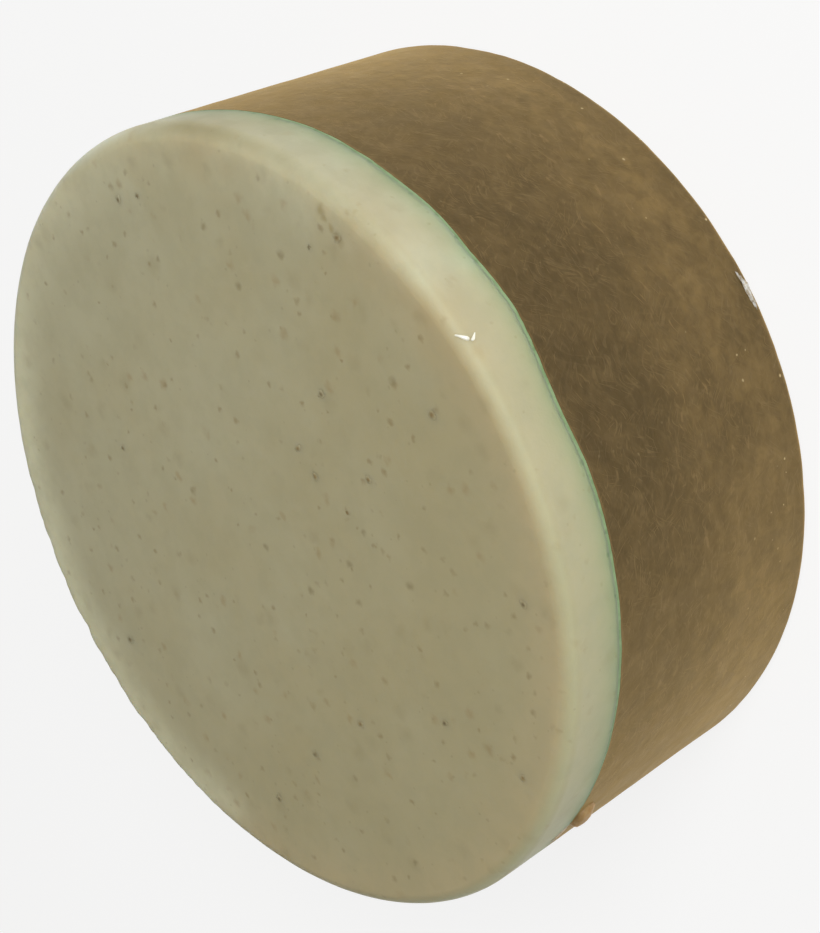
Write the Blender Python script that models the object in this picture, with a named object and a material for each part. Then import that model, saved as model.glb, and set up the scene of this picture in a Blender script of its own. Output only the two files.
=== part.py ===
"""Two-pour shaving soap puck: a clear amber glycerine base, a speckled cream lather cap cast on top of it,
and the thin dye-bleed film where the two pours fused.

Frame: +Z up along the puck's axis, origin at the centre of the flat base it rests on. Metres.
"""

import math

import bmesh
import bpy
from mathutils import Matrix, Vector

# ---------------------------------------------------------------- driving dimensions (metres)
PUCK_RADIUS = 0.0350        # drops into an ordinary shaving mug
PUCK_HEIGHT = 0.0300        # base to lather face
SEAM_HEIGHT = 0.0242        # mean height of the amber pour's upper skin, where the joint starts
TOP_EDGE_RADIUS = 0.0014    # softened rim round the lather face
BASE_EDGE_RADIUS = 0.0009   # softened rim round the resting face
FILM_THICKNESS = 0.0005     # green dye bleed, fused between the pours
FIT_GAP = 0.0003            # clearance kept between touching solids

SEGMENTS = 96               # facets round the puck
SEAM_RINGS = (0.0, 0.40, 0.75, 0.92, 1.0)   # rings across the joint face, as shares of the radius

# The first pour sets with an uneven skin, and the second pour keys into it. Each wave lifts (or drops)
# the joint at one bearing round the puck: (bearing in degrees, height in metres, half-width in degrees).
SEAM_WAVES = (
    (-18.0, 0.00115, 12.5),
    (-46.0, -0.00012, 8.0),
    (-64.0, -0.00034, 4.2),
    (-78.5, -0.00040, 4.4),
    (-92.0, 0.00048, 4.6),
    (-140.0, 0.00010, 9.0),
    (172.0, -0.00028, 8.0),
    (146.0, 0.00034, 9.0),
    (112.0, -0.00022, 7.0),
    (84.0, 0.00030, 10.0),
    (52.0, -0.00030, 8.0),
    (24.0, 0.00040, 9.0),
)

# Herb and oat flecks lying in the lather face: (x, y, half-length, half-width, turn in degrees).
FLECK_DEPTH = 0.00030       # thickness of a fleck
FLECK_SINK = 0.00010        # how far its top sits below the lather face
POCKET_FACETS = 14
FLECKS = {
    "herb_fleck_01": (0.0074, -0.0172, 0.00042, 0.00032, 118.0),
    "herb_fleck_02": (0.0289, -0.0067, 0.00044, 0.00036, 60.0),
    "herb_fleck_03": (0.0297, -0.0040, 0.00044, 0.00034, 15.0),
    "herb_fleck_04": (-0.0195, 0.0065, 0.00054, 0.00038, 100.0),
    "herb_fleck_05": (-0.0038, 0.0272, 0.00056, 0.00042, 75.0),
    "herb_fleck_06": (0.0121, 0.0128, 0.00040, 0.00032, 20.0),
    "herb_fleck_07": (-0.0225, 0.0153, 0.00050, 0.00036, 140.0),
    "herb_fleck_08": (-0.0132, -0.0279, 0.00044, 0.00032, 30.0),
    "herb_fleck_09": (-0.0200, -0.0127, 0.00044, 0.00034, 95.0),
    "herb_fleck_10": (0.0173, -0.0239, 0.00040, 0.00032, 160.0),
    "oat_fleck_01": (0.0167, -0.0273, 0.00060, 0.00040, 130.0),
    "oat_fleck_02": (0.0021, -0.0281, 0.00052, 0.00038, 40.0),
    "oat_fleck_03": (0.0046, -0.0113, 0.00044, 0.00032, 85.0),
    "oat_fleck_04": (-0.0017, -0.0134, 0.00060, 0.00032, 62.0),
    "oat_fleck_05": (-0.0001, -0.0178, 0.00042, 0.00032, 150.0),
    "oat_fleck_06": (0.0020, -0.0117, 0.00046, 0.00034, 35.0),
    "oat_fleck_07": (-0.0258, -0.0187, 0.00042, 0.00034, 10.0),
    "oat_fleck_08": (-0.0181, -0.0019, 0.00044, 0.00036, 120.0),
}

# Drop of amber soap that ran out at the joint and set on the wall.
BEAD_BEARING = -156.0
BEAD_HEIGHT = 0.0231
BEAD_HALF = (0.00050, 0.00135, 0.00095)     # outward, round the wall, up the wall

# Pale crumb of soap stuck on the base rim where it was lifted out of the mould.
CRUMB_BEARING = -90.0
CRUMB_HEIGHT = 0.0017
CRUMB_HALF = (0.00026, 0.00150, 0.00042)


def clear_scene():
    for obj in list(bpy.data.objects):
        bpy.data.objects.remove(obj, do_unlink=True)


def material(name, colour, roughness, metallic=0.0):
    made = bpy.data.materials.new(name)
    made.use_nodes = True
    shader = made.node_tree.nodes["Principled BSDF"]
    shader.inputs["Base Color"].default_value = (*colour, 1.0)
    shader.inputs["Roughness"].default_value = roughness
    shader.inputs["Metallic"].default_value = metallic
    made.diffuse_color = (*colour, 1.0)
    return made


def seam_wave(bearing_deg):
    """Lift of the joint at a bearing round the puck, in metres."""
    lift = 0.0
    for at, height, width in SEAM_WAVES:
        away = (bearing_deg - at + 180.0) % 360.0 - 180.0
        lift += height * math.exp(-0.5 * (away / width) ** 2)
    return lift


def rounded_corner(centre_r, centre_z, radius, start_deg, end_deg, steps):
    """Points of a rim's rounding on the turned profile, as (r, z)."""
    return [
        (
            centre_r + radius * math.cos(math.radians(start_deg + (end_deg - start_deg) * i / steps)),
            centre_z + radius * math.sin(math.radians(start_deg + (end_deg - start_deg) * i / steps)),
        )
        for i in range(steps + 1)
    ]


def seam_ring_points(z):
    return [(share * PUCK_RADIUS, z) for share in SEAM_RINGS]


def turned(name, profile, seam_levels, finish):
    """Spins a profile of (r, z) points round +Z, then lets the joint faces follow the uneven skin of the pour."""
    bm = bmesh.new()
    points = [bm.verts.new((r, 0.0, z)) for r, z in profile]
    lines = [bm.edges.new(pair) for pair in zip(points, points[1:])]
    bmesh.ops.spin(
        bm,
        geom=points + lines,
        cent=(0.0, 0.0, 0.0),
        axis=(0.0, 0.0, 1.0),
        dvec=(0.0, 0.0, 0.0),
        angle=math.tau,
        steps=SEGMENTS,
        use_merge=True,
    )
    bmesh.ops.remove_doubles(bm, verts=bm.verts, dist=1e-6)
    for vert in bm.verts:
        if any(abs(vert.co.z - level) < 1e-6 for level in seam_levels):
            reach = math.hypot(vert.co.x, vert.co.y) / PUCK_RADIUS
            if reach > 1e-4:
                bearing = math.degrees(math.atan2(vert.co.y, vert.co.x))
                vert.co.z += seam_wave(bearing) * reach**3
    bmesh.ops.recalc_face_normals(bm, faces=bm.faces)
    mesh = bpy.data.meshes.new(name)
    bm.to_mesh(mesh)
    bm.free()
    mesh.shade_smooth()
    mesh.set_sharp_from_angle(angle=math.radians(35.0))
    mesh.materials.append(finish)
    obj = bpy.data.objects.new(name, mesh)
    bpy.context.scene.collection.objects.link(obj)
    return obj


def pebble(name, half, finish, rings=6, around=12):
    """A small rounded lump, half sizes given along its own X, Y and Z."""
    bm = bmesh.new()
    bmesh.ops.create_uvsphere(bm, u_segments=around, v_segments=rings, radius=1.0)
    bmesh.ops.scale(bm, vec=Vector(half), verts=bm.verts)
    mesh = bpy.data.meshes.new(name)
    bm.to_mesh(mesh)
    bm.free()
    mesh.shade_smooth()
    mesh.materials.append(finish)
    obj = bpy.data.objects.new(name, mesh)
    bpy.context.scene.collection.objects.link(obj)
    return obj


def on_the_wall(obj, bearing_deg, height, stand_off):
    """Turns a lump's own X outward at a bearing and sets it against the puck's wall."""
    bearing = math.radians(bearing_deg)
    out = PUCK_RADIUS + stand_off
    obj.location = (out * math.cos(bearing), out * math.sin(bearing), height)
    obj.rotation_euler = (0.0, 0.0, bearing)


def build():
    clear_scene()
    cream = material("cream_soap", (0.68, 0.63, 0.43), 0.42)
    green = material("bleed_soap", (0.22, 0.40, 0.24), 0.42)
    amber = material("amber_soap", (0.19, 0.118, 0.052), 0.34)
    herb = material("herb_fleck", (0.10, 0.075, 0.035), 0.75)
    oat = material("oat_fleck", (0.33, 0.22, 0.09), 0.75)
    crumb = material("soap_crumb", (0.66, 0.62, 0.55), 0.6)

    puck = bpy.data.objects.new("puck", None)
    bpy.context.scene.collection.objects.link(puck)

    # Amber glycerine pour: flat resting face, softened rim, straight mould wall, uneven upper skin.
    base_top = SEAM_HEIGHT - FIT_GAP / 2
    base_profile = (
        [(0.0, 0.0)]
        + rounded_corner(PUCK_RADIUS - BASE_EDGE_RADIUS, BASE_EDGE_RADIUS, BASE_EDGE_RADIUS, -90.0, 0.0, 3)
        + list(reversed(seam_ring_points(base_top)))
    )
    base = turned("amber_base", base_profile, (base_top,), amber)

    # Dye-bleed film fused between the pours.
    film_low = SEAM_HEIGHT + FIT_GAP / 2
    film_high = film_low + FILM_THICKNESS
    film = turned(
        "bleed_film",
        seam_ring_points(film_low) + list(reversed(seam_ring_points(film_high))),
        (film_low, film_high),
        green,
    )

    # Cream lather pour: uneven lower skin, straight wall, softened rim, flat lather face.
    cap_low = film_high + FIT_GAP
    cap_profile = (
        seam_ring_points(cap_low)
        + rounded_corner(PUCK_RADIUS - TOP_EDGE_RADIUS, PUCK_HEIGHT - TOP_EDGE_RADIUS, TOP_EDGE_RADIUS, 0.0, 90.0, 4)
        + [(0.0, PUCK_HEIGHT)]
    )
    cap = turned("cream_cap", cap_profile, (cap_low,), cream)

    # Flecks, each in the shallow bed that it left in the lather face.
    beds = bmesh.new()
    for name, (x, y, long_half, wide_half, turn) in FLECKS.items():
        fleck = pebble(name, (long_half, wide_half, FLECK_DEPTH / 2), herb if name.startswith("herb") else oat)
        fleck.location = (x, y, PUCK_HEIGHT - FLECK_SINK - FLECK_DEPTH / 2)
        fleck.rotation_euler = (0.0, 0.0, math.radians(turn))
        fleck.parent = puck
        bed_depth = FLECK_SINK + FLECK_DEPTH + FIT_GAP
        place = (
            Matrix.Translation((x, y, PUCK_HEIGHT))
            @ Matrix.Rotation(math.radians(turn), 4, "Z")
            @ Matrix.Diagonal((long_half + FIT_GAP, wide_half + FIT_GAP, bed_depth, 1.0))
        )
        bmesh.ops.create_cone(
            beds,
            cap_ends=True,
            cap_tris=False,
            segments=POCKET_FACETS,
            radius1=1.0,
            radius2=1.0,
            depth=2.0,
            matrix=place,
        )
    bed_mesh = bpy.data.meshes.new("fleck_beds")
    beds.to_mesh(bed_mesh)
    beds.free()
    bed_cutter = bpy.data.objects.new("fleck_beds", bed_mesh)
    bpy.context.scene.collection.objects.link(bed_cutter)
    bed_cutter.hide_render = True
    bed_cutter.display_type = "WIRE"
    cut = cap.modifiers.new("fleck_beds", "BOOLEAN")
    cut.operation = "DIFFERENCE"
    cut.solver = "EXACT"
    cut.object = bed_cutter

    # Run-out drop at the joint, and the crumb on the base rim.
    bead = pebble("seam_bead", BEAD_HALF, amber, rings=8, around=16)
    on_the_wall(bead, BEAD_BEARING, BEAD_HEIGHT, FIT_GAP + BEAD_HALF[0])
    rim_crumb = pebble("rim_crumb", CRUMB_HALF, crumb)
    on_the_wall(rim_crumb, CRUMB_BEARING, CRUMB_HEIGHT, FIT_GAP + CRUMB_HALF[0])

    for obj in (base, film, cap, bead, rim_crumb, bed_cutter):
        obj.parent = puck


build()
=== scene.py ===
"""Looks of the two-pour shaving soap puck: an amber glycerine pour, a cream lather pour on top of it,
the green dye bleed between them, and what is stuck in and on the soap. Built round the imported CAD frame.
"""

import math

import bpy
import numpy as np
from mathutils import Matrix, Vector, noise


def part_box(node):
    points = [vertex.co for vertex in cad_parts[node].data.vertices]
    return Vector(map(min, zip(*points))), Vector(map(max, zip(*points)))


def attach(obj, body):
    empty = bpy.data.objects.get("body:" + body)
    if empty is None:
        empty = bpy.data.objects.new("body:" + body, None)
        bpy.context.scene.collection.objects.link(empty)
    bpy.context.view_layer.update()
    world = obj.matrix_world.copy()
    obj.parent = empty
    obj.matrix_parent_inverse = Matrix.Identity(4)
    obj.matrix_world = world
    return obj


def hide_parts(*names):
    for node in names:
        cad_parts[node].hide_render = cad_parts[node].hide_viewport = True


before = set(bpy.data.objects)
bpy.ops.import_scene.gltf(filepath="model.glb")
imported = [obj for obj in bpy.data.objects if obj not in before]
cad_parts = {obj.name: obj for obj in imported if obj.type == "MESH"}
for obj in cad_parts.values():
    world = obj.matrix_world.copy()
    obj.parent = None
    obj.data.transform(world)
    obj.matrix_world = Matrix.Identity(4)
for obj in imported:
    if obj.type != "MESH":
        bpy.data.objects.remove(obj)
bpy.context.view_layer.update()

MM = 0.001
BODY = "root"

# ---------------------------------------------------------------- sizes read from the frame
base_low, base_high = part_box("amber_base")
cap_low, cap_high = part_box("cream_cap")
PUCK_R = base_high.x
PUCK_H = cap_high.z
SEAM_Z = 24.2 * MM          # mean height of the joint
TOP_EDGE = 1.4 * MM         # rounding of the lather face's edge
BASE_EDGE = 0.9 * MM        # rounding of the resting face's edge
FILM_T = 0.30 * MM          # visible thickness of the darkest dye bleed
COLUMNS = 640

# The joint's waves, as in the CAD: (bearing in degrees, height in metres, half-width in degrees).
SEAM_WAVES = (
    (-18.0, 0.00115, 12.5),
    (-46.0, -0.00012, 8.0),
    (-64.0, -0.00034, 4.2),
    (-78.5, -0.00040, 4.4),
    (-92.0, 0.00048, 4.6),
    (-140.0, 0.00010, 9.0),
    (172.0, -0.00028, 8.0),
    (146.0, 0.00034, 9.0),
    (112.0, -0.00022, 7.0),
    (84.0, 0.00030, 10.0),
    (52.0, -0.00030, 8.0),
    (24.0, 0.00040, 9.0),
)

THETA = np.linspace(0.0, math.tau, COLUMNS, endpoint=False)
COS, SIN = np.cos(THETA), np.sin(THETA)


def wobble(x, y, z, per_mm, seed):
    """Smooth noise, about -1 to 1, at a point given in metres."""
    k = per_mm / MM
    return noise.noise(Vector((x * k + seed, y * k - seed, z * k + 0.37 * seed)))


def seam_height(bearing_deg):
    lift = 0.0
    for at, height, width in SEAM_WAVES:
        away = (bearing_deg - at + 180.0) % 360.0 - 180.0
        lift += height * math.exp(-0.5 * (away / width) ** 2)
    return lift


# Wall height of the joint at every column, with the fine raggedness of the poured skin.
SEAM_LIFT = np.array([seam_height(math.degrees(t)) for t in THETA])
SEAM_LIFT += np.array(
    [
        0.055 * MM * wobble(PUCK_R * c, PUCK_R * s, 0.0, 0.55, 3.1)
        + 0.035 * MM * wobble(PUCK_R * c, PUCK_R * s, 0.0, 1.6, 8.4)
        for c, s in zip(COS, SIN)
    ]
)


def seam_z(share):
    """Heights of the joint at every column, at a share of the radius."""
    return SEAM_Z + SEAM_LIFT * share**3


# ---------------------------------------------------------------- mesh building
def ring(radius, z):
    out = np.empty((COLUMNS, 3))
    out[:, 0] = radius * COS
    out[:, 1] = radius * SIN
    out[:, 2] = z
    return out


def spun(name, low_pole, rings, high_pole):
    """A closed skin through rings of points, from the pole below to the pole above."""
    count = len(rings)
    verts = np.vstack([[(0.0, 0.0, low_pole)], *rings, [(0.0, 0.0, high_pole)]])
    col = np.arange(COLUMNS)
    nxt = (col + 1) % COLUMNS
    start = 1 + np.arange(count)[:, None] * COLUMNS
    quads = np.stack(
        [start[:-1] + col, start[:-1] + nxt, start[1:] + nxt, start[1:] + col], axis=-1
    ).reshape(-1, 4)
    low = [(0, int(1 + n), int(1 + c)) for c, n in zip(col, nxt)]
    last = 1 + (count - 1) * COLUMNS
    high = [(int(last + c), int(last + n), len(verts) - 1) for c, n in zip(col, nxt)]
    mesh = bpy.data.meshes.new(name)
    mesh.from_pydata(verts.tolist(), [], low + quads.tolist() + high)
    mesh.shade_smooth()
    mesh.set_sharp_from_angle(angle=math.radians(55.0))
    mesh.update()
    return mesh


def add_value(mesh, name, values):
    attribute = mesh.attributes.new(name, "FLOAT", "POINT")
    attribute.data.foreach_set("value", np.asarray(values, np.float32))


def push(mesh, depth):
    """Moves each vertex along its normal by depth(co), in metres."""
    mesh.update()
    normals = np.empty(len(mesh.vertices) * 3)
    mesh.vertices.foreach_get("normal", normals)
    co = np.empty(len(mesh.vertices) * 3)
    mesh.vertices.foreach_get("co", co)
    normals, co = normals.reshape(-1, 3), co.reshape(-1, 3)
    moved = co + normals * np.array([depth(p) for p in co])[:, None]
    mesh.vertices.foreach_set("co", moved.reshape(-1))
    mesh.update()


def above_joint(mesh):
    """Height of each vertex above the joint, in millimetres."""
    co = np.array([v.co[:] for v in mesh.vertices])
    bearing = np.mod(np.arctan2(co[:, 1], co[:, 0]), math.tau)
    lift = np.interp(bearing, np.append(THETA, math.tau), np.append(SEAM_LIFT, SEAM_LIFT[0]))
    share = np.hypot(co[:, 0], co[:, 1]) / PUCK_R
    return (co[:, 2] - SEAM_Z - lift * share**3) / MM


def placed(name, mesh, material, stands_for):
    mesh.materials.append(material)
    obj = bpy.data.objects.new(name, mesh)
    bpy.context.scene.collection.objects.link(obj)
    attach(obj, BODY)
    if stands_for:
        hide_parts(*stands_for)
    return obj


# ---------------------------------------------------------------- node graphs
class Graph:
    """A Principled material and short names for the nodes that feed it."""

    def __init__(self, name):
        self.material = bpy.data.materials.new(name)
        self.material.use_nodes = True
        self.tree = self.material.node_tree
        self.shader = self.tree.nodes["Principled BSDF"]
        self._mm = None

    def put(self, socket, value):
        if isinstance(value, bpy.types.NodeSocket):
            self.tree.links.new(value, socket)
        elif isinstance(value, tuple) and len(value) == 3 and socket.type == "RGBA":
            socket.default_value = (*value, 1.0)
        else:
            socket.default_value = value

    def mm(self):
        """Object coordinates in millimetres."""
        if self._mm is None:
            coords = self.tree.nodes.new("ShaderNodeTexCoord")
            self._mm = self.stretch(coords.outputs["Object"], (1000.0, 1000.0, 1000.0))
        return self._mm

    def vector(self, operation, a, b):
        made = self.tree.nodes.new("ShaderNodeVectorMath")
        made.operation = operation
        self.put(made.inputs[0], a)
        self.put(made.inputs[1], b)
        return made.outputs["Vector"]

    def stretch(self, vec, factors):
        return self.vector("MULTIPLY", vec, factors)

    def math(self, operation, a, b=0.0, c=0.0, clamp=False):
        made = self.tree.nodes.new("ShaderNodeMath")
        made.operation = operation
        made.use_clamp = clamp
        self.put(made.inputs[0], a)
        self.put(made.inputs[1], b)
        self.put(made.inputs[2], c)
        return made.outputs[0]

    def times(self, a, b):
        return self.math("MULTIPLY", a, b)

    def plus(self, a, b):
        return self.math("ADD", a, b)

    def smooth(self, value, from_min, from_max, to_min=0.0, to_max=1.0):
        made = self.tree.nodes.new("ShaderNodeMapRange")
        made.interpolation_type = "SMOOTHSTEP"
        self.put(made.inputs["Value"], value)
        made.inputs["From Min"].default_value = from_min
        made.inputs["From Max"].default_value = from_max
        made.inputs["To Min"].default_value = to_min
        made.inputs["To Max"].default_value = to_max
        return made.outputs["Result"]

    def line(self, value, from_min, from_max, to_min=0.0, to_max=1.0):
        made = self.tree.nodes.new("ShaderNodeMapRange")
        made.interpolation_type = "LINEAR"
        self.put(made.inputs["Value"], value)
        made.inputs["From Min"].default_value = from_min
        made.inputs["From Max"].default_value = from_max
        made.inputs["To Min"].default_value = to_min
        made.inputs["To Max"].default_value = to_max
        return made.outputs["Result"]

    def mix(self, factor, a, b, blend="MIX"):
        made = self.tree.nodes.new("ShaderNodeMix")
        made.data_type = "RGBA"
        made.blend_type = blend
        self.put(made.inputs[0], factor)
        self.put(made.inputs[6], a)
        self.put(made.inputs[7], b)
        return made.outputs[2]

    def noise(self, vec, per_mm, detail=2.0, rough=0.5, out="Fac"):
        made = self.tree.nodes.new("ShaderNodeTexNoise")
        self.put(made.inputs["Vector"], vec)
        made.inputs["Scale"].default_value = per_mm
        made.inputs["Detail"].default_value = detail
        made.inputs["Roughness"].default_value = rough
        return made.outputs[out]

    def cells(self, vec, per_mm):
        """(distance to the nearest point in cell sizes, random colour of its cell)"""
        made = self.tree.nodes.new("ShaderNodeTexVoronoi")
        self.put(made.inputs["Vector"], vec)
        made.inputs["Scale"].default_value = per_mm
        return made.outputs["Distance"], made.outputs["Color"]

    def split(self, colour):
        made = self.tree.nodes.new("ShaderNodeSeparateColor")
        self.put(made.inputs[0], colour)
        return made.outputs[0], made.outputs[1], made.outputs[2]

    def attribute(self, name):
        made = self.tree.nodes.new("ShaderNodeAttribute")
        made.attribute_type = "GEOMETRY"
        made.attribute_name = name
        return made.outputs["Fac"]

    def warped(self, vec, per_mm, amount, shift=(0.0, 0.0, 0.0)):
        """vec pushed about by a smooth noise, amount in millimetres."""
        moved = self.vector("ADD", vec, shift)
        swirl = self.noise(moved, per_mm, 1.0, 0.5, "Color")
        centred = self.vector("SUBTRACT", swirl, (0.5, 0.5, 0.5))
        return self.vector("ADD", moved, self.stretch(centred, (amount,) * 3))

    def dots(self, vec, cell_mm, share, inner_mm, outer_mm):
        """(mask of soft round dots on a share of the cells, random value per cell)"""
        distance, colour = self.cells(vec, 1.0 / cell_mm)
        red, green, _ = self.split(colour)
        size = self.line(green, 0.0, 1.0, 0.55, 1.25)
        reach = self.math("DIVIDE", self.times(distance, cell_mm), size)
        mask = self.smooth(reach, inner_mm, outer_mm, 1.0, 0.0)
        chosen = self.math("LESS_THAN", red, share)
        return self.times(mask, chosen), green

    def axis(self, vec, direction):
        """Length of vec along a direction."""
        made = self.tree.nodes.new("ShaderNodeVectorMath")
        made.operation = "DOT_PRODUCT"
        self.put(made.inputs[0], vec)
        self.put(made.inputs[1], direction)
        return made.outputs["Value"]

    def vector_length(self, vec):
        made = self.tree.nodes.new("ShaderNodeVectorMath")
        made.operation = "LENGTH"
        self.put(made.inputs[0], vec)
        return made.outputs["Value"]

    def spot(self, vec, place, inner_mm, outer_mm):
        """Mask of one soft round dot at a place given in millimetres."""
        made = self.tree.nodes.new("ShaderNodeVectorMath")
        made.operation = "DISTANCE"
        self.put(made.inputs[0], vec)
        self.put(made.inputs[1], place)
        return self.smooth(made.outputs["Value"], inner_mm, outer_mm, 1.0, 0.0)

    def bump(self, height, distance_m, strength=1.0, under=None):
        made = self.tree.nodes.new("ShaderNodeBump")
        made.inputs["Strength"].default_value = strength
        made.inputs["Distance"].default_value = distance_m
        self.put(made.inputs["Height"], height)
        if under is not None:
            self.put(made.inputs["Normal"], under)
        return made.outputs["Normal"]

    def set(self, **values):
        for name, value in values.items():
            self.put(self.shader.inputs[name.replace("_", " ")], value)


# Flecks seen on the face at known places, beside the ones that are pieces of their own: x, y, size in mm.
FACE_DOTS = (
    (5.7, 5.4, 0.34),
    (-6.2, -4.1, 0.36),
    (5.6, -25.8, 0.36),
    (-8.6, -9.5, 0.32),
    (23.5, -13.1, 0.30),
    (-1.4, -0.9, 0.30),
    (-30.8, -0.1, 0.34),
    (18.0, -13.8, 0.32),
    (-8.9, -16.6, 0.34),
    (-3.7, -14.2, 0.28),
    (-5.5, -10.6, 0.30),
    (18.1, -20.4, 0.34),
    (23.7, -5.4, 0.28),
)
# An oat husk lying just under the skin by the rim, as a short curved streak of its own.
HUSK_STREAK = (
    (19.1, -27.0, 0.40),
    (18.4, -27.0, 0.26),
    (17.5, -27.2, 0.24),
    (16.9, -27.3, 0.30),
    (16.4, -27.4, 0.36),
)


def lather_colour(g, p):
    """Colour of the cream pour away from flecks and dye, with painted light across the face, and the distance from the
    puck's axis.
    """
    # Opaque soap: warmer towards -X, cooler and paler towards +X +Y, lighter towards the rim. The paler +X +Y side and
    # the lighter rim are painted light falling across the face; the warm and cool tints are partly the soap's own.
    across = g.math("MULTIPLY_ADD", g.axis(p, (0.0145, 0.0105, 0.0)), 1.0, 0.5)
    drift = g.plus(across, g.line(g.noise(p, 0.075, 3.0, 0.55), 0.3, 0.7, -0.30, 0.30))
    colour = g.mix(g.smooth(drift, 0.0, 1.1), (0.588, 0.524, 0.315), (0.640, 0.606, 0.410))
    out = g.vector_length(g.stretch(p, (1.0, 1.0, 0.0)))
    # Painted light: the rim band is lifted, most of all towards +Y, as light falling on the face near its edge.
    rim_light_warm = g.mix(g.smooth(g.axis(p, (1.0, 0.0, 0.0)), -6.0, 16.0), (1.10, 1.06, 1.06), (1.04, 0.96, 0.90))
    rim_light_cool = g.mix(g.smooth(g.axis(p, (0.0, 1.0, 0.0)), 8.0, 32.0), (1.22, 1.24, 1.29), (1.42, 1.48, 1.56))
    rim = g.mix(g.smooth(drift, 0.25, 0.85), rim_light_warm, rim_light_cool)
    colour = g.mix(g.smooth(out, 28.0, 34.2), colour, g.mix(1.0, colour, rim, "MULTIPLY"))
    broad = g.smooth(g.noise(p, 0.16, 2.0, 0.5), 0.36, 0.64)
    colour = g.mix(g.times(broad, 0.14), colour, (0.500, 0.455, 0.270))
    fine = g.smooth(g.noise(p, 0.42, 5.0, 0.62), 0.40, 0.64)
    colour = g.mix(g.times(fine, 0.16), colour, (0.470, 0.440, 0.275))
    return colour, out


def cream_soap():
    g = Graph("cream_soap_look")
    p = g.mm()
    h = g.attribute("above_joint")
    colour, out = lather_colour(g, p)

    # The wall is greener than the face, a tint of the soap's own, and is also painted darker: painted shade, most of
    # all towards -X and on the +X -Y stretch of the wall.
    side = g.line(g.axis(p, (1.0, 0.0, 0.0)), -32.0, 26.0)
    wall = g.mix(side, (0.745, 0.825, 0.845), (0.905, 0.940, 1.030))
    shaded_stretch = g.smooth(g.axis(p, (1.0, 0.0, 0.0)), 5.0, 33.0)
    shaded_stretch = g.times(shaded_stretch, g.smooth(g.axis(p, (0.0, 1.0, 0.0)), -17.0, -5.0, 1.0, 0.0))
    wall = g.mix(shaded_stretch, wall, (0.585, 0.575, 0.525))
    colour = g.mix(g.smooth(out, 33.60, 34.85), colour, g.mix(1.0, colour, wall, "MULTIPLY"))
    # Painted highlight: a pale line along the ridge where the face's soft edge meets the wall, kept off the shaded
    # stretch.
    painted_ridge_highlight = g.times(g.smooth(out, 33.90, 34.75), g.smooth(out, 34.75, 34.99, 1.0, 0.0))
    painted_ridge_highlight = g.times(painted_ridge_highlight, g.line(shaded_stretch, 0.0, 0.8, 1.0, 0.0))
    colour = g.mix(g.math("MULTIPLY", painted_ridge_highlight, 1.0, clamp=True), colour, g.mix(1.0, colour, (1.10, 1.13, 1.15), "MULTIPLY"))

    # Ground herb and oat: soft smudges deeper in, blurred dots near the skin, and a little fine pepper.
    smudge, _ = g.dots(g.warped(p, 0.9, 1.1, (31.0, 7.0, 3.0)), 2.6, 0.40, 0.00, 1.15)
    colour = g.mix(g.times(smudge, 0.20), colour, (0.360, 0.290, 0.150))
    flat = g.smooth(out, 31.5, 33.5, 1.0, 0.45)
    dot, kind = g.dots(g.warped(p, 1.3, 0.80), 2.3, 0.62, 0.00, 0.62)
    dot_colour = g.mix(g.smooth(kind, 0.45, 0.60), (0.350, 0.262, 0.130), (0.430, 0.295, 0.135))
    colour = g.mix(g.times(g.times(dot, flat), 0.42), colour, dot_colour)
    small, kind = g.dots(g.warped(p, 2.1, 0.50, (17.0, 23.0, 2.0)), 1.5, 0.42, 0.00, 0.40)
    colour = g.mix(g.times(g.times(small, flat), 0.55), colour, (0.350, 0.252, 0.122))
    pepper, _ = g.dots(g.warped(p, 3.1, 0.2, (5.0, 19.0, 11.0)), 0.85, 0.18, 0.02, 0.20)
    colour = g.mix(g.times(pepper, 0.26), colour, (0.320, 0.250, 0.130))
    ragged = g.warped(p, 1.3, 0.60)
    known = 0.0
    for x, y, size in FACE_DOTS:
        known = g.math("MAXIMUM", g.spot(ragged, (x, y, PUCK_H / MM), 0.0, 1.7 * size), known)
    colour = g.mix(g.times(known, 0.50), colour, (0.290, 0.222, 0.112))
    husk = 0.0
    for x, y, size in HUSK_STREAK:
        husk = g.math("MAXIMUM", g.spot(ragged, (x, y, PUCK_H / MM), 0.0, 1.9 * size), husk)
    colour = g.mix(g.times(husk, 0.50), colour, (0.420, 0.310, 0.100))

    # Green dye bleeding up from the joint, on the wall: strongest at the joint and gone 3 mm above it.
    waver = g.line(g.noise(p, 0.55, 2.0), 0.0, 1.0, -0.35, 0.35)
    level = g.math("MAXIMUM", g.plus(h, waver), 0.0)
    fade = g.math("EXPONENT", g.times(level, -0.80))
    colour = g.mix(1.0, colour, g.mix(fade, (1.0, 1.0, 1.0), (0.49, 0.740, 0.555)), "MULTIPLY")
    speck, _ = g.dots(g.warped(p, 2.7, 0.25, (3.0, 3.0, 9.0)), 0.75, 0.34, 0.05, 0.30)
    near = g.smooth(level, 0.25, 0.85, 1.0, 0.0)
    colour = g.mix(g.times(g.times(speck, near), 0.60), colour, (0.160, 0.262, 0.120))

    skin = g.bump(g.noise(p, 0.9, 3.0, 0.55), 0.00003)
    skin = g.bump(g.noise(p, 5.0, 2.0, 0.6), 0.000008, under=skin)
    g.set(Base_Color=colour, Normal=skin)
    g.set(Roughness=g.line(g.noise(p, 0.35, 3.0), 0.2, 0.8, 0.44, 0.58))
    g.set(Subsurface_Weight=0.80, Subsurface_Radius=(1.0, 0.86, 0.66), Subsurface_Scale=0.0022)
    g.set(Specular_IOR_Level=0.30, IOR=1.46)
    return g.material


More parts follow.
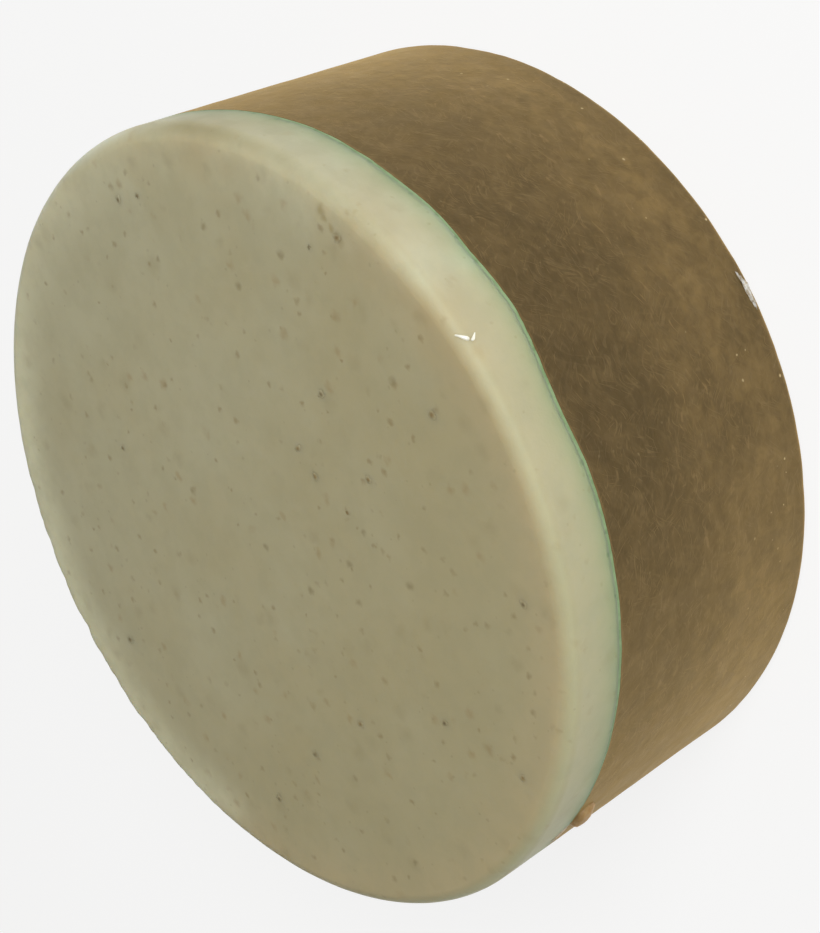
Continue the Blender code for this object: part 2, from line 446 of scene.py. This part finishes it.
def bleed_soap():
    g = Graph("bleed_soap_look")
    p = g.mm()
    patch = g.smooth(g.noise(p, 0.9, 3.0, 0.6), 0.36, 0.64)
    colour = g.mix(patch, (0.262, 0.372, 0.182), (0.205, 0.305, 0.138))
    speck, _ = g.dots(g.warped(p, 2.7, 0.25, (3.0, 3.0, 9.0)), 0.75, 0.45, 0.05, 0.34)
    colour = g.mix(g.times(speck, 0.50), colour, (0.110, 0.180, 0.076))
    g.set(Base_Color=colour, Roughness=g.line(g.noise(p, 0.6, 2.0), 0.2, 0.8, 0.46, 0.60))
    g.set(Specular_IOR_Level=0.28, IOR=1.46)
    return g.material


def strands(g, vec, shift, along_mm, across_mm, width, tilt, shown=(0.47, 0.66)):
    """Hair-fine slanting lines: contours of a drawn-out noise whose height is tilted by a slower one."""
    moved = g.vector("ADD", vec, shift)
    flat = g.stretch(moved, (1.0, 1.0, 0.12))
    slope = g.times(g.math("SUBTRACT", g.noise(flat, 0.17, 1.0, 0.5), 0.5), tilt)
    wiggle = g.stretch(g.vector("SUBTRACT", g.noise(moved, 0.8, 1.0, 0.5, "Color"), (0.5, 0.5, 0.5)), (0.36, 0.36, 0.36))
    lifted = g.tree.nodes.new("ShaderNodeCombineXYZ")
    g.put(lifted.inputs[2], slope)
    swirled = g.vector("ADD", g.vector("ADD", moved, lifted.outputs[0]), wiggle)
    drawn = g.noise(g.stretch(swirled, (1 / along_mm, 1 / along_mm, 1 / across_mm)), 1.0, 1.0, 0.45)
    away = g.math("ABSOLUTE", g.math("SUBTRACT", drawn, 0.5))
    line = g.smooth(away, 0.0, width, 1.0, 0.0)
    broken = g.smooth(g.noise(moved, 0.75, 2.0, 0.6), *shown)
    return g.times(line, broken)


def amber_soap():
    g = Graph("amber_soap_look")
    p = g.mm()
    h = g.attribute("above_joint")

    def tone(red):
        return (red, 0.660 * red, 0.250 * red)

    def hair(red):
        return (red, 0.680 * red, 0.300 * red)

    # Clear soap: soft clouds, lighter in a broad band above the resting rim.
    cloud = g.smooth(g.noise(g.warped(p, 0.08, 4.0), 0.22, 4.0, 0.62), 0.33, 0.67)
    colour = g.mix(cloud, tone(0.062), tone(0.092))
    rim = g.times(g.smooth(h, -19.5, -7.0, 1.0, 0.0), g.smooth(h, -24.0, -19.0, 0.55, 1.0))
    drift = g.line(g.noise(g.warped(g.stretch(p, (1.0, 1.0, 1.5)), 0.2, 3.0), 0.17, 4.0, 0.65), 0.32, 0.68, 0.20, 1.30)
    colour = g.mix(g.times(rim, g.math("MULTIPLY", drift, 1.0, clamp=True)), colour, tone(0.172))
    band = g.smooth(g.noise(g.warped(g.stretch(p, (0.30, 0.30, 1.0)), 0.3, 1.5, (4.0, 9.0, 2.0)), 0.42, 3.0, 0.6), 0.50, 0.66)
    band = g.times(band, g.smooth(h, -23.5, -20.0))
    band = g.times(band, g.smooth(h, -17.0, -8.0, 1.0, 0.10))
    colour = g.mix(g.times(band, 0.50), colour, tone(0.215))

    # Dark mottles, thickest under the joint, and the open dark ground between the fibres.
    ground = g.smooth(g.noise(g.warped(p, 0.5, 1.6, (6.0, 6.0, 1.0)), 0.62, 4.0, 0.62), 0.36, 0.62)
    colour = g.mix(g.times(ground, 0.42), colour, tone(0.042))
    mottle, _ = g.dots(g.warped(p, 1.3, 1.1, (21.0, 4.0, 6.0)), 1.20, 0.62, 0.00, 0.66)
    under = g.smooth(h, -15.0, -1.5, 0.22, 1.0)
    colour = g.mix(g.times(g.times(mottle, under), 0.56), colour, tone(0.036))

    # Fibres: curved hairs in every direction, soft ones deep in the soap and fine ones near the wall.
    deep = strands(g, p, (77.0, 3.0, 31.0), 4.5, 1.6, 0.080, 14.0, (0.34, 0.58))
    low = strands(g, p, (15.0, 33.0, 61.0), 3.4, 2.0, 0.070, -18.0, (0.36, 0.60))
    colour = g.mix(g.times(deep, 0.26), colour, hair(0.140))
    colour = g.mix(g.times(low, 0.24), colour, hair(0.140))
    first = strands(g, p, (0.0, 0.0, 0.0), 5.2, 0.95, 0.034, 12.0)
    second = strands(g, p, (40.0, 13.0, 5.0), 4.6, 0.90, 0.034, -16.0)
    third = strands(g, p, (9.0, 51.0, 23.0), 4.0, 1.05, 0.032, 20.0)
    fourth = strands(g, p, (63.0, 29.0, 47.0), 3.4, 1.20, 0.028, -24.0, (0.46, 0.62))
    web = g.math("MAXIMUM", g.math("MAXIMUM", first, second), g.math("MAXIMUM", third, fourth))
    colour = g.mix(g.times(web, g.line(g.noise(p, 0.3, 2.0), 0.3, 0.7, 0.14, 0.52)), colour, hair(0.180))

    streak = strands(g, p, (3.0, 71.0, 9.0), 6.5, 0.85, 0.034, 7.0, (0.50, 0.64))
    streak = g.times(streak, g.times(g.smooth(h, -20.0, -16.0), g.smooth(h, -12.0, -5.0, 1.0, 0.15)))
    colour = g.mix(g.times(streak, 0.55), colour, (0.235, 0.152, 0.066))

    # Bubbles and pale grit, thicker towards the resting rim.
    bubble, _ = g.dots(g.warped(p, 4.0, 0.08, (2.0, 8.0, 1.0)), 1.05, 0.30, 0.04, 0.15)
    bubble = g.times(bubble, g.smooth(h, -23.0, -13.0, 1.0, 0.10))
    colour = g.mix(g.times(bubble, 0.95), colour, (0.560, 0.450, 0.250))
    grit, _ = g.dots(p, 1.3, 0.05, 0.05, 0.17)
    colour = g.mix(g.times(grit, 0.5), colour, tone(0.030))

    # A thin broken orange line right under the joint.
    level = g.plus(h, g.line(g.noise(p, 1.1, 2.0), 0.0, 1.0, -0.05, 0.05))
    lip = g.times(g.smooth(level, -0.22, -0.10), g.smooth(g.noise(p, 0.9, 2.0), 0.36, 0.58, 0.35, 1.0))
    colour = g.mix(g.times(lip, 0.55), colour, (0.190, 0.112, 0.046))

    skin = g.bump(g.noise(p, 0.8, 3.0, 0.55), 0.00004)
    skin = g.bump(g.plus(web, g.noise(p, 4.5, 2.0, 0.6)), 0.000008, under=skin)
    g.set(Base_Color=colour, Normal=skin)
    g.set(Roughness=g.line(g.noise(p, 0.5, 3.0), 0.2, 0.8, 0.46, 0.60))
    g.set(Specular_IOR_Level=0.17, IOR=1.46)
    g.set(Subsurface_Weight=0.30, Subsurface_Radius=(1.0, 0.62, 0.28), Subsurface_Scale=0.003)
    g.set(Sheen_Weight=0.46, Sheen_Roughness=0.55, Sheen_Tint=(1.0, 0.66, 0.19))
    return g.material


def drop_look(name, dark, light):
    """The same soap where it is thin and clear, so lighter."""
    g = Graph(name)
    p = g.mm()
    cloud = g.smooth(g.noise(p, 0.8, 3.0, 0.55), 0.35, 0.65)
    g.set(Base_Color=g.mix(cloud, dark, light))
    g.set(Roughness=0.42, Specular_IOR_Level=0.35, IOR=1.46)
    g.set(Normal=g.bump(g.noise(p, 1.6, 2.0), 0.00003))
    g.set(Subsurface_Weight=0.5, Subsurface_Radius=(1.0, 0.62, 0.28), Subsurface_Scale=0.002)
    g.set(Sheen_Weight=0.35, Sheen_Roughness=0.55, Sheen_Tint=(1.0, 0.70, 0.36))
    return g.material


def nick_highlight_look():
    g = Graph("painted_highlight_nick_look")
    # Near-white base colour: a painted highlight on the nick, on top of its real gloss.
    g.set(Base_Color=(0.96, 0.95, 0.82), Roughness=0.18, Specular_IOR_Level=0.80)
    return g.material


def flake_look(name, dark, light):
    """A fleck seen through a skin of soap: dark in the middle, fading into the cream at its edge."""
    g = Graph(name)
    p = g.mm()
    colour, _ = lather_colour(g, p)
    grain = g.smooth(g.noise(p, 2.4, 3.0, 0.6), 0.35, 0.65)
    from_middle = g.plus(g.attribute("from_middle"), g.line(g.noise(p, 2.8, 2.0), 0.0, 1.0, -0.16, 0.16))
    core = g.smooth(from_middle, 0.05, 0.66, 1.0, 0.0)
    colour = g.mix(1.0, colour, (0.88, 0.88, 0.88), "MULTIPLY")
    g.set(Base_Color=g.mix(core, colour, g.mix(grain, dark, light)), Roughness=0.52)
    g.set(Specular_IOR_Level=0.30, IOR=1.46)
    return g.material


def crumb_look():
    g = Graph("soap_crumb_look")
    p = g.mm()
    grain = g.smooth(g.noise(p, 2.6, 3.0, 0.6), 0.34, 0.66)
    g.set(Base_Color=g.mix(grain, (0.38, 0.31, 0.22), (0.74, 0.70, 0.62)), Roughness=0.55)
    g.set(Normal=g.bump(g.noise(p, 5.0, 3.0), 0.00004))
    g.set(Subsurface_Weight=0.4, Subsurface_Radius=(1.0, 0.8, 0.6), Subsurface_Scale=0.001)
    return g.material


# ---------------------------------------------------------------- amber pour
def build_amber(material):
    rings = []
    for share in (0.12, 0.25, 0.38, 0.50, 0.61, 0.71, 0.79, 0.86, 0.91, 0.945):
        rings.append(ring(PUCK_R * share, 0.0))
    for i in range(10):
        a = math.radians(-90.0 + 90.0 * i / 9)
        rings.append(ring(PUCK_R - BASE_EDGE + BASE_EDGE * math.cos(a), BASE_EDGE + BASE_EDGE * math.sin(a)))
    top = seam_z(1.0)
    steps = 72
    for i in range(1, steps + 1):
        rings.append(ring(PUCK_R, BASE_EDGE + (top - BASE_EDGE) * i / steps))
    for share in (0.985, 0.94, 0.85, 0.70, 0.50, 0.25):
        rings.append(ring(PUCK_R * share, seam_z(share)))
    mesh = spun("amber_pour", 0.0, rings, SEAM_Z)

    def depth(p):
        x, y, z = p
        if z < 1e-6:
            return 0.0
        r = math.hypot(x, y)
        if r < PUCK_R * 0.99 and z > 0.5 * SEAM_Z:
            return 0.0
        out = 0.030 * wobble(x, y, z, 0.16, 1.7) + 0.014 * wobble(x, y, z, 0.75, 4.2)
        low = max(0.0, 1.0 - z / (2.2 * MM))
        out -= 0.10 * low * max(0.0, wobble(x, y, z, 0.35, 6.1) - 0.12)
        return out * MM * min(1.0, z / (0.4 * MM))

    push(mesh, depth)
    add_value(mesh, "above_joint", above_joint(mesh))
    return placed("amber_pour", mesh, material, ["amber_base"])


# ---------------------------------------------------------------- dye-bleed film
def build_film(material):
    rings = [ring(PUCK_R * s, seam_z(s)) for s in (0.25, 0.50, 0.70, 0.85, 0.94, 0.985)]
    for i in range(5):
        rings.append(ring(PUCK_R - (0.0 if 0 < i < 4 else 0.02 * MM), seam_z(1.0) + FILM_T * i / 4))
    rings += [ring(PUCK_R * s, seam_z(s) + FILM_T) for s in (0.985, 0.94, 0.85, 0.70, 0.50, 0.25)]
    mesh = spun("dye_bleed", SEAM_Z, rings, SEAM_Z + FILM_T)
    add_value(mesh, "above_joint", above_joint(mesh))
    return placed("dye_bleed", mesh, material, ["bleed_film"])


# ---------------------------------------------------------------- cream pour
def build_cream(material):
    # The edge is a little ragged where the puck was cut free of its mould.
    bearing = np.degrees(THETA)
    cut = np.exp(-(((bearing - 98.0) / 36.0) ** 4))
    nicks = np.array(
        [wobble(PUCK_R * c, PUCK_R * s, 0.0, 0.42, 7.7) + 0.6 * wobble(PUCK_R * c, PUCK_R * s, 0.0, 1.1, 2.9) for c, s in zip(COS, SIN)]
    )
    reach = PUCK_R + cut * 0.28 * MM * np.clip(nicks, -1.0, 0.35)
    rings = [ring(PUCK_R * s, seam_z(s) + FILM_T) for s in (0.25, 0.50, 0.70, 0.85, 0.94, 0.985)]
    low = seam_z(1.0) + FILM_T
    high = PUCK_H - TOP_EDGE
    steps = 20
    for i in range(steps + 1):
        rings.append(ring(PUCK_R + (reach - PUCK_R) * i / steps, low + (high - low) * i / steps))
    # Softened edge, a touch fuller than a true quarter round, its size drifting round the puck.
    edge = np.array(
        [TOP_EDGE * (1.0 + 0.10 * wobble(PUCK_R * c, PUCK_R * s, 0.0, 0.10, 2.2)) for c, s in zip(COS, SIN)]
    )
    for i in range(1, 15):
        a = math.radians(90.0 * i / 14)
        rings.append(ring(reach - edge * (1.0 - math.cos(a)), PUCK_H - TOP_EDGE + TOP_EDGE * math.sin(a)))
    inner = reach - edge
    for i in range(1, 58):
        share = 1.0 - (i / 58) ** 0.92
        rings.append(ring(inner * share, PUCK_H))
    mesh = spun("cream_pour", SEAM_Z + FILM_T, rings, PUCK_H)

    def depth(p):
        x, y, z = p
        r = math.hypot(x, y)
        if z < SEAM_Z + 3.0 * MM and r < PUCK_R * 0.995:
            return 0.0
        out = 0.030 * wobble(x, y, z, 0.12, 5.7) + 0.010 * wobble(x, y, z, 0.6, 9.2)
        if r < PUCK_R - TOP_EDGE * 1.3:
            out = out * 0.6 - 0.012
        return out * MM

    push(mesh, depth)
    add_value(mesh, "above_joint", above_joint(mesh))
    return placed("cream_pour", mesh, material, ["cream_cap"])


# ---------------------------------------------------------------- flecks, bead, crumb, nick
def lump(name, half, seed, rings=10, around=18, rough=0.22, flat=0.0):
    """A small irregular closed lump, half sizes along its own X, Y and Z in metres."""
    verts, faces = [], []
    for i in range(rings + 1):
        polar = math.pi * i / rings
        for j in range(around if 0 < i < rings else 1):
            turn = math.tau * j / around
            d = Vector((math.sin(polar) * math.cos(turn), math.sin(polar) * math.sin(turn), math.cos(polar)))
            swell = 1.0 + rough * noise.noise(d * 1.6 + Vector((seed, -seed, 0.3 * seed)))
            swell += 0.5 * rough * noise.noise(d * 4.1 + Vector((seed, seed, seed)))
            q = d * swell
            if flat:
                q.z = math.copysign(abs(q.z) ** (1.0 - flat), q.z)
            verts.append((q.x * half[0], q.y * half[1], q.z * half[2]))
    def at(i, j):
        if i == 0:
            return 0
        if i == rings:
            return len(verts) - 1
        return 1 + (i - 1) * around + j % around
    for i in range(rings):
        for j in range(around):
            corners = [at(i, j), at(i + 1, j), at(i + 1, j + 1), at(i, j + 1)]
            faces.append([c for n, c in enumerate(corners) if c not in corners[:n]])
    mesh = bpy.data.meshes.new(name)
    mesh.from_pydata(verts, [], faces)
    mesh.shade_smooth()
    mesh.update()
    return mesh


def turned_into_place(mesh, matrix):
    mesh.transform(matrix)
    mesh.update()


def build_flecks(herb, oat):
    for number, node in enumerate(sorted(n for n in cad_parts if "_fleck_" in n)):
        low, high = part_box(node)
        centre, size = (low + high) / 2, high - low
        seed = 3.7 * number + 1.0
        half = (0.62 * size.x, 0.62 * size.y, 0.10 * MM)
        mesh = lump(node + "_flake", half, seed, rings=16, around=30, rough=0.24, flat=0.0)
        add_value(mesh, "from_middle", [math.hypot(v.co.x / half[0], v.co.y / half[1]) for v in mesh.vertices])
        turned_into_place(mesh, Matrix.Translation((centre.x, centre.y, PUCK_H - 0.090 * MM)))
        kind = "herb_fleck" if node.startswith("herb") else "oat_fleck"
        placed(node + "_flake", mesh, herb if kind == "herb_fleck" else oat, [node])


def on_wall(bearing_deg, z, sink=0.0):
    """Matrix that sets a lump on the wall: its own X points outward, its own Z up."""
    turn = Matrix.Rotation(math.radians(bearing_deg), 4, "Z")
    return turn @ Matrix.Translation((PUCK_R - sink, 0.0, z))


def build_bead(material):
    mesh = lump("seam_drop", (0.78 * MM, 1.45 * MM, 0.92 * MM), 5.2, rings=24, around=40, rough=0.14)
    turned_into_place(mesh, on_wall(-155.2, 23.15 * MM, 0.12 * MM) @ Matrix.Rotation(math.radians(-14.0), 4, "X"))
    return placed("seam_drop", mesh, material, ["seam_bead"])


def build_smear(material):
    """A thin pale smear of the same soap on the cream wall, beside the drop."""
    mesh = lump("seam_smear", (0.10 * MM, 1.05 * MM, 0.30 * MM), 2.6, rings=18, around=30, rough=0.35)
    turned_into_place(mesh, on_wall(-158.2, 24.9 * MM, 0.0) @ Matrix.Rotation(math.radians(-24.0), 4, "X"))
    return placed("seam_smear", mesh, material, [])


def build_crumb(material):
    mesh = lump("rim_flake", (0.17 * MM, 1.45 * MM, 0.24 * MM), 9.4, rings=30, around=44, rough=0.75)
    turned_into_place(mesh, on_wall(-90.0, 0.95 * MM, 0.0) @ Matrix.Rotation(math.radians(3.0), 4, "X"))
    return placed("rim_flake", mesh, material, ["rim_crumb"])


def on_edge(bearing_deg, along):
    """Point on the lather face's soft edge, along in metres up the curve from the wall."""
    if along < 0.0:
        r, z = PUCK_R, PUCK_H - TOP_EDGE + along
    else:
        a = min(along / TOP_EDGE, math.pi / 2)
        r, z = PUCK_R - TOP_EDGE * (1.0 - math.cos(a)), PUCK_H - TOP_EDGE * (1.0 - math.sin(a))
    turn = math.radians(bearing_deg)
    return Vector((r * math.cos(turn), r * math.sin(turn), z))


def build_nick(material):
    """A wet-looking nick in the soft edge: two short strokes of smooth lifted soap, coloured near-white as a painted
    highlight.
    """
    strokes = (
        ((-79.35, 1.28, 0.05), (-79.75, 1.06, 0.08), (-80.15, 0.86, 0.12), (-80.50, 0.66, 0.15), (-80.74, 0.54, 0.08)),
        ((-80.96, 0.46, 0.07), (-80.88, 0.28, 0.11), (-80.66, 0.12, 0.09), (-80.44, -0.04, 0.06), (-80.26, -0.18, 0.03)),
    )
    verts, faces, around = [], [], 16
    for stroke in strokes:
        fine = []
        for (b0, s0, w0), (b1, s1, w1) in zip(stroke, stroke[1:]):
            for i in range(5):
                t = i / 5
                fine.append((b0 + (b1 - b0) * t, s0 + (s1 - s0) * t, w0 + (w1 - w0) * t))
        fine.append(stroke[-1])
        first = len(verts)
        points = [on_edge(b, s * MM) for b, s, _ in fine]
        for i, point in enumerate(points):
            ahead = (points[min(i + 1, len(points) - 1)] - points[max(i - 1, 0)]).normalized()
            up = Vector((point.x, point.y, 0.0)).normalized() * 0.7 + Vector((0.0, 0.0, 0.7))
            across = ahead.cross(up).normalized()
            up = across.cross(ahead).normalized()
            width = 1.2 * fine[i][2] * MM * (0.25 if i in (0, len(points) - 1) else 1.0)
            for j in range(around):
                turn = math.tau * j / around
                verts.append(point + across * width * math.cos(turn) + up * 0.55 * width * math.sin(turn))
        for i in range(len(points) - 1):
            for j in range(around):
                a, b = first + i * around, first + (i + 1) * around
                faces.append((a + j, a + (j + 1) % around, b + (j + 1) % around, b + j))
        last = first + (len(points) - 1) * around
        faces.append(tuple(first + j for j in reversed(range(around))))
        faces.append(tuple(last + j for j in range(around)))
    mesh = bpy.data.meshes.new("painted_highlight_nick")
    mesh.from_pydata([tuple(v) for v in verts], [], faces)
    mesh.shade_smooth()
    mesh.update()
    return placed("painted_highlight_nick", mesh, material, [])


# ---------------------------------------------------------------- camera, floor and light
def build_stage():
    scene = bpy.context.scene
    scene.view_settings.view_transform = "Standard"
    scene.view_settings.look = "None"

    camera = bpy.data.objects.new("camera", bpy.data.cameras.new("camera"))
    scene.collection.objects.link(camera)
    right = Vector((-0.44122, -0.55855, -0.70239))
    up = Vector((0.89739, -0.27100, -0.34821))
    back = Vector((0.00414, -0.78395, 0.62081))
    turn = Matrix((right, up, back)).transposed().to_4x4()
    camera.matrix_world = Matrix.Translation((0.0, -0.13351, 0.11737)) @ turn
    camera.data.sensor_width = 36.0
    camera.data.sensor_fit = "AUTO"
    camera.data.lens = 72.848
    camera.data.clip_start = 0.01
    camera.data.clip_end = 50.0
    scene.camera = camera

    mesh = bpy.data.meshes.new("floor")
    reach = 4.0
    low = -0.02 * MM
    mesh.from_pydata([(-reach, -reach, low), (reach, -reach, low), (reach, reach, low), (-reach, reach, low)], [], [(0, 1, 2, 3)])
    floor = bpy.data.objects.new("floor", mesh)
    scene.collection.objects.link(floor)
    g = Graph("pale_floor")
    g.set(Base_Color=(0.20, 0.20, 0.20), Roughness=0.9, Specular_IOR_Level=0.0)
    g.set(Emission_Color=(1.0, 1.0, 1.0), Emission_Strength=0.818)
    mesh.materials.append(g.material)

    world = bpy.data.worlds.new("studio")
    scene.world = world
    world.use_nodes = True
    world.node_tree.nodes["Background"].inputs["Color"].default_value = (1.0, 0.96, 0.86, 1.0)
    world.node_tree.nodes["Background"].inputs["Strength"].default_value = 0.19

    def softbox(name, azimuth_deg, elevation_deg, distance, size, watts, colour=(1.0, 1.0, 1.0)):
        a, e = math.radians(azimuth_deg), math.radians(elevation_deg)
        place = Vector((math.cos(a) * math.cos(e), math.sin(a) * math.cos(e), math.sin(e))) * distance
        light = bpy.data.lights.new(name, "AREA")
        light.shape = "DISK"
        light.size = size
        light.energy = watts
        light.color = colour
        obj = bpy.data.objects.new(name, light)
        obj.location = place + Vector((0.0, 0.0, 0.5 * PUCK_H))
        obj.rotation_euler = place.to_track_quat("Z", "Y").to_euler()
        scene.collection.objects.link(obj)

    softbox("key", -73.0, 36.0, 0.55, 0.30, 1.95)


build_amber(amber_soap())
build_film(bleed_soap())
build_cream(cream_soap())
build_flecks(
    flake_look("herb_fleck_look", (0.225, 0.180, 0.095), (0.320, 0.262, 0.145)),
    flake_look("oat_fleck_look", (0.300, 0.215, 0.095), (0.400, 0.300, 0.140)),
)
build_bead(drop_look("seam_drop_look", (0.330, 0.205, 0.085), (0.410, 0.270, 0.118)))
build_smear(drop_look("seam_smear_look", (0.560, 0.430, 0.290), (0.640, 0.510, 0.370)))
build_crumb(crumb_look())
build_nick(nick_highlight_look())
build_stage()
